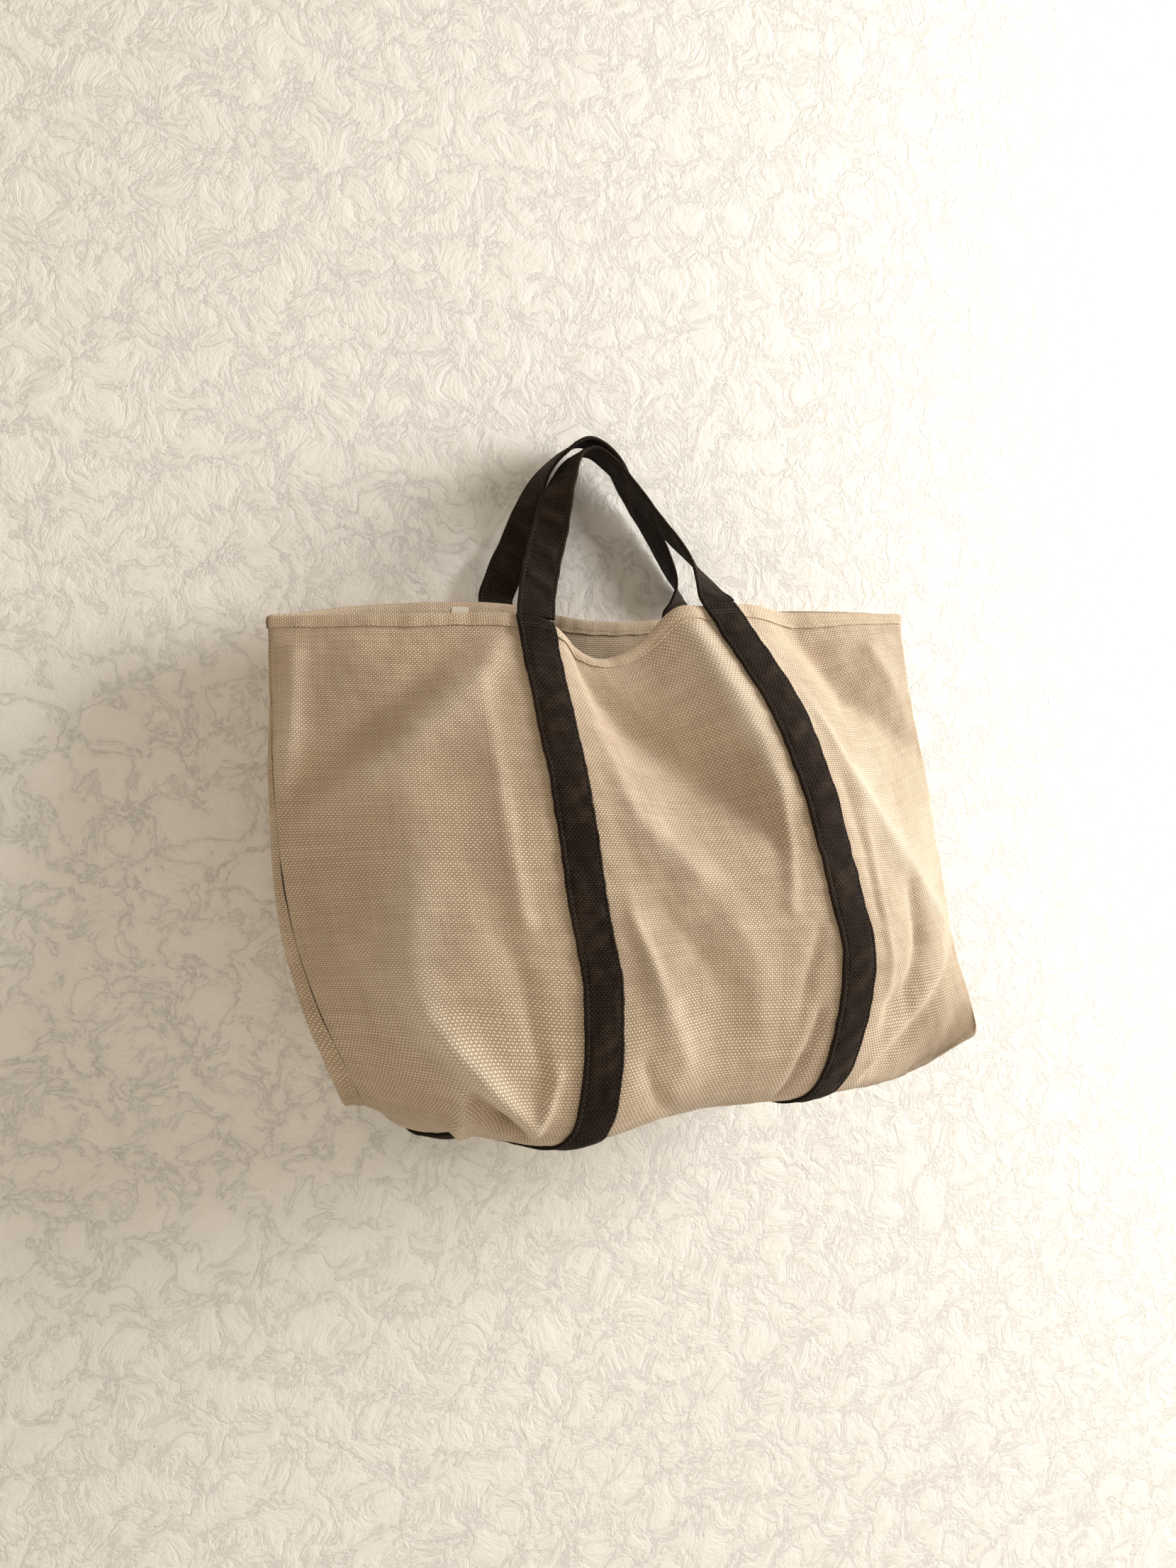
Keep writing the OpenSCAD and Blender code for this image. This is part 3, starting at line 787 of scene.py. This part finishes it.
class Band:
    """A strap or handle: its stations along its length, and where a point of each one lies."""

    def __init__(self, lengths, point_at, seed):
        self.lengths = lengths
        self.point_at = point_at
        self.seed = seed

    def puckers(self, along, across):
        """Cross ridges between the two lines of stitches, in metres."""
        slanted = along + 0.35 * across
        ridge = LONG_PUCKER[0] * ripple(slanted, 0.25 * across, self.seed, LONG_PUCKER[1])
        fine = SHORT_PUCKER[0] * ripple(slanted, 0.5 * across, self.seed + 4, SHORT_PUCKER[1])
        return (ridge + fine) * (1 - ease((np.abs(across) - 6.5 * MM) / (3 * MM)))

    def piece(self, name, replaced):
        """The band itself: uneven along its edges, and wandering a little from side to side."""
        across, out = FULL_SECTION.T[:, None, :]
        along = self.lengths[:, None]
        pucker = self.puckers(along, across)
        edge = 0.3 * MM * ripple(along, 0 * across, self.seed + 2, 0.021) * np.sign(across)
        side_on = np.clip(np.abs(across) / STRAP_HALF_WIDTH, 0, 1) ** 2
        shift = 0.5 * MM * ripple(along, 0 * across, self.seed + 6, 0.09)
        station = np.arange(len(self.lengths))[:, None]
        rings = self.point_at(station, across + edge * side_on + shift,
                              out + np.where(out >= 0, pucker, pucker * 0.8))
        wear_and_painted_fold_shade = (np.clip(pucker / (0.55 * MM), -0.3, 0.8) * CREST_WEAR
                + np.where(np.abs(across) > EDGE_WEAR_FROM, EDGE_WEAR, 0))
        return tube_piece(name, rings, length_round(FULL_SECTION), self.lengths, "strap", replaced,
                          wear_and_painted_fold_shade)

    def stitches(self, name, faces):
        return stitches_piece(name, self.runs(faces), "strap_thread", *STRAP_STITCH)

    def runs(self, faces):
        """The lines of stitches, along both edges of each face."""
        made = []
        stations = np.arange(len(self.lengths))
        for across in (-STITCH_INSET, STITCH_INSET):
            for face in faces:
                low = self.point_at(stations, across, 0.0)
                points = self.point_at(stations, across, face * STITCH_OUT)
                made.append((points, unit(points - low)))
        return made


# Going up, a strap climbs over the length CLIMB, and is up CLIMB_END below the hem.
CLIMB = 9 * MM
CLIMB_END = 1.5 * MM
OVER_CANVAS = 0.75 * MM
HEM_RISE = 1.4 * MM
BAND_STEP = 1.6 * MM


def strap_middle(t):
    """Height of a strap's middle: over the canvas, and over the hem near the mouth."""
    on_hem = ease(1 - (np.minimum(t, END_T - t) * ROW - HEM_HEIGHT - CLIMB_END) / CLIMB)
    return OVER_CANVAS + HEM_RISE * on_hem + STRAP_HALF_THICK


def strap_band(side, u, t_from, t_to, seed):
    """A strap sewn down a panel."""
    t = np.linspace(t_from, t_to, int(abs(t_to - t_from) * ROW / BAND_STEP))
    lengths = length_along(cloth_point(side, np.full_like(t, u), t))
    step = 0.01
    wide = np.linalg.norm(smooth_point(side, np.full_like(t, u + step), t)
                          - smooth_point(side, np.full_like(t, u - step), t), axis=-1) / (2 * step)

    def point_at(k, across, out):
        return place(side, u + across / wide[k], t[k], strap_middle(t[k]) + out)

    return Band(lengths, point_at, seed)


STRAP_END_T = 0.5 * MM / ROW
straps = {
    "front_left_strap": strap_band(-1, -STRAP_U, STRAP_END_T, 5, 21),
    "front_right_strap": strap_band(-1, STRAP_U, STRAP_END_T, 5, 22),
    "back_left_strap": strap_band(1, -STRAP_U, END_T - STRAP_END_T, 7, 23),
    "back_right_strap": strap_band(1, STRAP_U, END_T - STRAP_END_T, 7, 24),
    "base_left_strap": strap_band(-1, -STRAP_U, 5, 7, 25),
    "base_right_strap": strap_band(-1, STRAP_U, 5, 7, 26),
}
strap_pieces = {}
for name, band in straps.items():
    strap_pieces[name] = band.piece(name + "_band", [name])
    strap_pieces[name + "_stitches"] = band.stitches(name + "_stitches", [1])

# Middle line of each handle in millimetres between its ends, and how far the band has turned at
# each point and at the ends: 0 flat to the panel, 90 flat on the peg, 180 flat to the panel again.
FRONT_HANDLE_LINE = [(-51, -47, -98), (-44, -38, -79), (-35, -26, -53), (-24, -13, -26),
                     (-12.5, -4, -5.4), (1, -2, 1.3), (13, -5, -6), (26, -14, -24), (40, -25, -47),
                     (51, -33, -63), (62, -40, -79), (70, -47, -96)]
BACK_HANDLE_LINE = [(-63, 14.6, -101), (-58.5, 11.5, -89), (-51, 11.1, -70), (-42.3, 11.4, -44),
                    (-32.6, 9.6, -18), (-16, 3.9, 1.2), (0, 2, 8.7), (18, 3, -1), (33, 7, -22),
                    (50, 9, -46), (61, 10, -64), (71, 11.4, -84), (75, 14, -101)]
FRONT_TURN = [0, 4, 12, 28, 58, 80, 90, 92, 95, 99, 104, 118, 150, 180]
BACK_TURN = [0, 2, 10, 28, 50, 76, 86, 88, 86, 86, 88, 92, 106, 145, 180]



def curve(knots, x):
    """A smooth curve through knots, at x from 0 at the first to len - 1 at the last."""
    knots = np.asarray(knots, float)
    knots = np.concatenate([2 * knots[:1] - knots[1:2], knots, 2 * knots[-1:] - knots[-2:-1]])
    first, weights = knot_weights(x, len(knots) - 3)
    return sum(weights[..., k].reshape(-1, *[1] * (knots.ndim - 1)) * knots[first + k]
               for k in range(4))


# A handle lies as its strap does at the ends, and turns freely from this far along.
TWIST_FREE = 16 * MM


def handle_band(side, line, turns, seed):
    """A handle: it goes on from one strap's end, over the peg and down to the other strap's end."""
    edge_t, step = (0, 1) if side < 0 else (END_T, -1)
    ends = []
    for u in (-STRAP_U, STRAP_U):
        ends.append(place(side, u, edge_t + step * np.array([10 * MM / ROW, STRAP_END_T]),
                          strap_middle(np.zeros(2))))
    knots = np.array([*ends[0], *(np.array(line) * MM), *ends[1][::-1]])
    angles = np.radians([0, *turns, 180])
    x = np.linspace(1, len(knots) - 2, 24 * (len(knots) - 3) + 1)
    centre = curve(knots, x)
    run = unit(curve(knots, x + 0.02) - curve(knots, x - 0.02))
    turn = curve(angles, x)
    wide = np.stack([np.cos(turn), -np.sin(turn), 0 * turn], -1)
    lengths = length_along(centre)
    nudge = 0.01
    for u, sign, off in ((-STRAP_U, 1, lengths), (STRAP_U, -1, lengths[-1] - lengths)):
        strap_way = sign * unit(place(side, u + nudge, edge_t, 0)
                                - place(side, u - nudge, edge_t, 0))
        wide = strap_way + (wide - strap_way) * ease(off / TWIST_FREE)[:, None]
    across_way = unit(wide - run * np.sum(wide * run, -1, keepdims=True))
    out_way = unit(np.cross(across_way, run))

    def point_at(k, across, out):
        across, out = np.asarray(across)[..., None], np.asarray(out)[..., None]
        return centre[k] + across_way[k] * across + out_way[k] * out

    return Band(lengths, point_at, seed)


handles = {
    "front_handle": handle_band(-1, FRONT_HANDLE_LINE, FRONT_TURN, 31),
    "back_handle": handle_band(1, BACK_HANDLE_LINE, BACK_TURN, 32),
}
BEND_HEIGHT = 25 * MM
JOINTS = {joint["child"]: joint for joint in frame["joints"]}
for name, band in handles.items():
    hinge = np.array(JOINTS[name]["pos_m"])
    axis = unit(np.array(JOINTS[name]["axis"], float))
    up = unit(np.array([0, 0, 1.0]) - axis * axis[2])
    for piece in (band.piece(name + "_band", [name]), band.stitches(name + "_stitches", [1, -1])):
        tuple(hinge + up * BEND_HEIGHT)
        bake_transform(piece)

# ---- Tacks, bindings and label ----

TACK_ROWS = (5.6 * MM, 7.2 * MM)
TACK_OUT = 1.25 * MM


def tacks_piece(name, bands):
    """Two rows of close stitches across each strap, where it crosses the hem."""
    across = np.linspace(-0.92, 0.92, 30) * STRAP_HALF_WIDTH
    runs = []
    for band in bands:
        for down in TACK_ROWS:
            k = np.full(len(across), int(np.searchsorted(band.lengths, down)))
            low, high = band.point_at(k, across, 0.0), band.point_at(k, across, TACK_OUT)
            runs.append((high, unit(high - low)))
    return stitches_piece(name + "_thread", runs, "strap_thread", 1.9 * MM, 1.7 * MM, 0.32 * MM,
                          [name])


front_tacks = tacks_piece("front_tacks", [straps["front_left_strap"], straps["front_right_strap"]])
back_tacks = tacks_piece("back_tacks", [straps["back_left_strap"], straps["back_right_strap"]])

TAPE_THICK = 0.9 * MM
TAPE_GAP = 0.12 * MM


def tape_piece(name, side, u, t, slot="binding", thick=TAPE_THICK, lift=0.0):
    """A tape on the inside of the canvas over a grid of u and t, with softly rounded edges."""
    rows, columns = u.shape
    row, column = np.indices(u.shape)
    edge = np.minimum.reduce([row, rows - 1 - row, column, columns - 1 - column])
    rounded = np.where(edge == 0, 0.35, np.where(edge == 1, 0.8, 1.0))
    uneven = 0.12 * MM * ripple(u * HALF_WIDTH, t * ROW, 14, 0.02)
    base = -CANVAS_FACE - TAPE_GAP - lift
    top = place(side, u, t, base)
    low = place(side, u, t, base - thick * rounded + uneven)
    uv = np.stack([u * HALF_WIDTH, t * ROW], -1)
    return sheet_piece(name + "_cloth", top, low, uv, slot, [name])


def tape_stitches(name, side, lines):
    """Stitches on the inner face of a tape, along lines of u and t."""
    runs = []
    for u, t in lines:
        points = place(side, u, t, -CANVAS_FACE - TAPE_THICK - TAPE_GAP)
        runs.append((points, -outward(cloth_point, side, u, t)))
    return stitches_piece(name, runs, "thread", 2.4 * MM, 3.4 * MM, 0.25 * MM)


SEAM_INSET_U = 4 * MM / HALF_WIDTH
BINDING_U = 12 * MM / HALF_WIDTH
BINDING_STITCH_U = 1.6 * MM / HALF_WIDTH
tapes = []
for name, sign in (("left", -1), ("right", 1)):
    u, t = np.meshgrid(sign * (1 - SEAM_INSET_U - np.linspace(0, BINDING_U, 7)),
                       np.linspace(0.3, 4.7, 130))
    tapes.append(tape_piece(name + "_seam_binding", -1, u, t))
    line = np.linspace(0.32, 4.68, 400)
    inner = np.full_like(line, sign * (1 - SEAM_INSET_U - BINDING_U + BINDING_STITCH_U))
    outer = np.full_like(line, sign * (1 - SEAM_INSET_U - BINDING_STITCH_U))
    tapes.append(tape_stitches(name + "_seam_stitches", -1, [(inner, line), (outer, line)]))
    u, t = np.meshgrid(sign * np.linspace(0.78, 0.93, 20), np.linspace(5.0, 5.18, 7))
    tapes.append(tape_piece(name + "_corner_binding", -1, u, t))
u, t = np.meshgrid(np.linspace(-0.72, 0.72, 160), BASE_T - np.linspace(0.2, 0.02, 7))
tapes.append(tape_piece("base_seam_binding", -1, u, t))

LABEL_U = -0.45
LABEL_WIDTH_U = 12 * MM / HALF_WIDTH
LABEL_TOP_T = END_T - 2.5 * MM / ROW
LABEL_ROWS_T = 31 * MM / ROW
u, t = np.meshgrid(LABEL_U + np.linspace(-0.5, 0.5, 24) * LABEL_WIDTH_U,
                   LABEL_TOP_T - np.linspace(0, 1, 20) * LABEL_ROWS_T)
label = tape_piece("label", 1, u, t, "label", 0.6 * MM, 1.5 * MM)
for piece in (front_panel, back_panel, front_hem, back_hem, front_hem_stitches, back_hem_stitches,
              front_tacks, back_tacks, label, *strap_pieces.values(), *tapes):
    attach(piece, "bag")

# The pieces sewn onto each panel, front and back.
front_sewn = [front_hem, front_hem_stitches, front_tacks, *tapes]
back_sewn = [back_hem, back_hem_stitches, back_tacks, label]
for name, piece in strap_pieces.items():
    (back_sewn if name.startswith("back") else front_sewn).append(piece)


# ---- Wall, floor, camera and light ----

def stage_plane(name, centre, width, height, rotation, material):
    bpy.ops.mesh.primitive_plane_add(size=1, location=centre, rotation=rotation)
    plane = bpy.context.object
    plane.name = name
    plane.scale = (width, height, 1)
    plane.data.materials.append(material)
    return plane


def wall_material():
    """Pale rough plaster, clear from its back, so that views from behind show the bag."""
    material, tree, shader = new_material("Wall")
    place_node = tree.nodes.new("ShaderNodeNewGeometry")
    pattern = tree.nodes.new("ShaderNodeTexNoise")
    for entry, value in (("Scale", 34), ("Detail", 8), ("Roughness", 0.68), ("Distortion", 0.5)):
        pattern.inputs[entry].default_value = value
    tree.links.new(place_node.outputs["Position"], pattern.inputs["Vector"])
    height = (Value(tree, pattern.outputs[0]) - 0.5).math("ABSOLUTE") ** 0.5
    add_bump(tree, shader, height, 1.8 * MM)
    shader.inputs["Base Color"].default_value = (0.80, 0.775, 0.72, 1)
    shader.inputs["Roughness"].default_value = 0.9
    clear = tree.nodes.new("ShaderNodeBsdfTransparent")
    mix = tree.nodes.new("ShaderNodeMixShader")
    tree.links.new(place_node.outputs["Backfacing"], mix.inputs[0])
    tree.links.new(shader.outputs[0], mix.inputs[1])
    tree.links.new(clear.outputs[0], mix.inputs[2])
    tree.links.new(mix.outputs[0], tree.nodes["Material Output"].inputs["Surface"])
    return material


def floor_material():
    material, _, shader = new_material("Floor")
    shader.inputs["Base Color"].default_value = (0.74, 0.72, 0.68, 1)
    shader.inputs["Roughness"].default_value = 0.8
    return material


WALL_Y = cad_high.y + 1.5 * MM
WALL_MIDDLE_Z = 0.1
FLOOR_Z = -1.3
STAGE_WIDTH = 6
# The wall runs on below the floor, so that no gap shows between them.
wall = stage_plane("wall", (0, WALL_Y, WALL_MIDDLE_Z), STAGE_WIDTH,
                   2 * (WALL_MIDDLE_Z - FLOOR_Z) + 0.6, (math.radians(90), 0, 0), wall_material())
wall.visible_shadow = False
stage_plane("floor", (0, 0, FLOOR_Z), STAGE_WIDTH, STAGE_WIDTH, (0, 0, 0), floor_material())

camera_data = bpy.data.cameras.new("Camera")
camera_data.lens = 27
camera_data.sensor_width = 36
camera = bpy.data.objects.new("Camera", camera_data)
camera.location = (-0.2835, -0.779, -0.2325)
camera.rotation_euler = (math.radians(90), 0, math.radians(-20))
bpy.context.scene.collection.objects.link(camera)
bpy.context.scene.camera = camera


def area_light(name, location, target, size, energy, colour):
    data = bpy.data.lights.new(name, "AREA")
    data.shape = "DISK"
    data.size = size
    data.energy = energy
    data.color = colour
    light = bpy.data.objects.new(name, data)
    light.location = location
    way = np.array(target) - np.array(location)
    light.rotation_euler = (math.atan2(math.hypot(way[0], way[1]), -way[2]), 0,
                            math.atan2(way[1], way[0]) - math.pi / 2)
    light.visible_camera = False
    bpy.context.scene.collection.objects.link(light)


area_light("key", (1.65, -0.62, 0.25), (0.05, 0, -0.25), 1.1, 62, (1.0, 1.0, 1.0))
area_light("fill", (-1.1, -1.7, 0.5), (0, 0, -0.3), 1.6, 9, (1.0, 0.87, 0.71))
area_light("behind", (-0.4, 1.7, 0.5), (0, 0, -0.25), 1.8, 12, (1.0, 0.99, 0.97))
world = bpy.data.worlds.new("World")
world.use_nodes = True
background = world.node_tree.nodes["Background"]
background.inputs[0].default_value = (1.0, 0.86, 0.70, 1)
background.inputs[1].default_value = 0.36
bpy.context.scene.world = world
bpy.context.scene.view_settings.view_transform = "Standard"
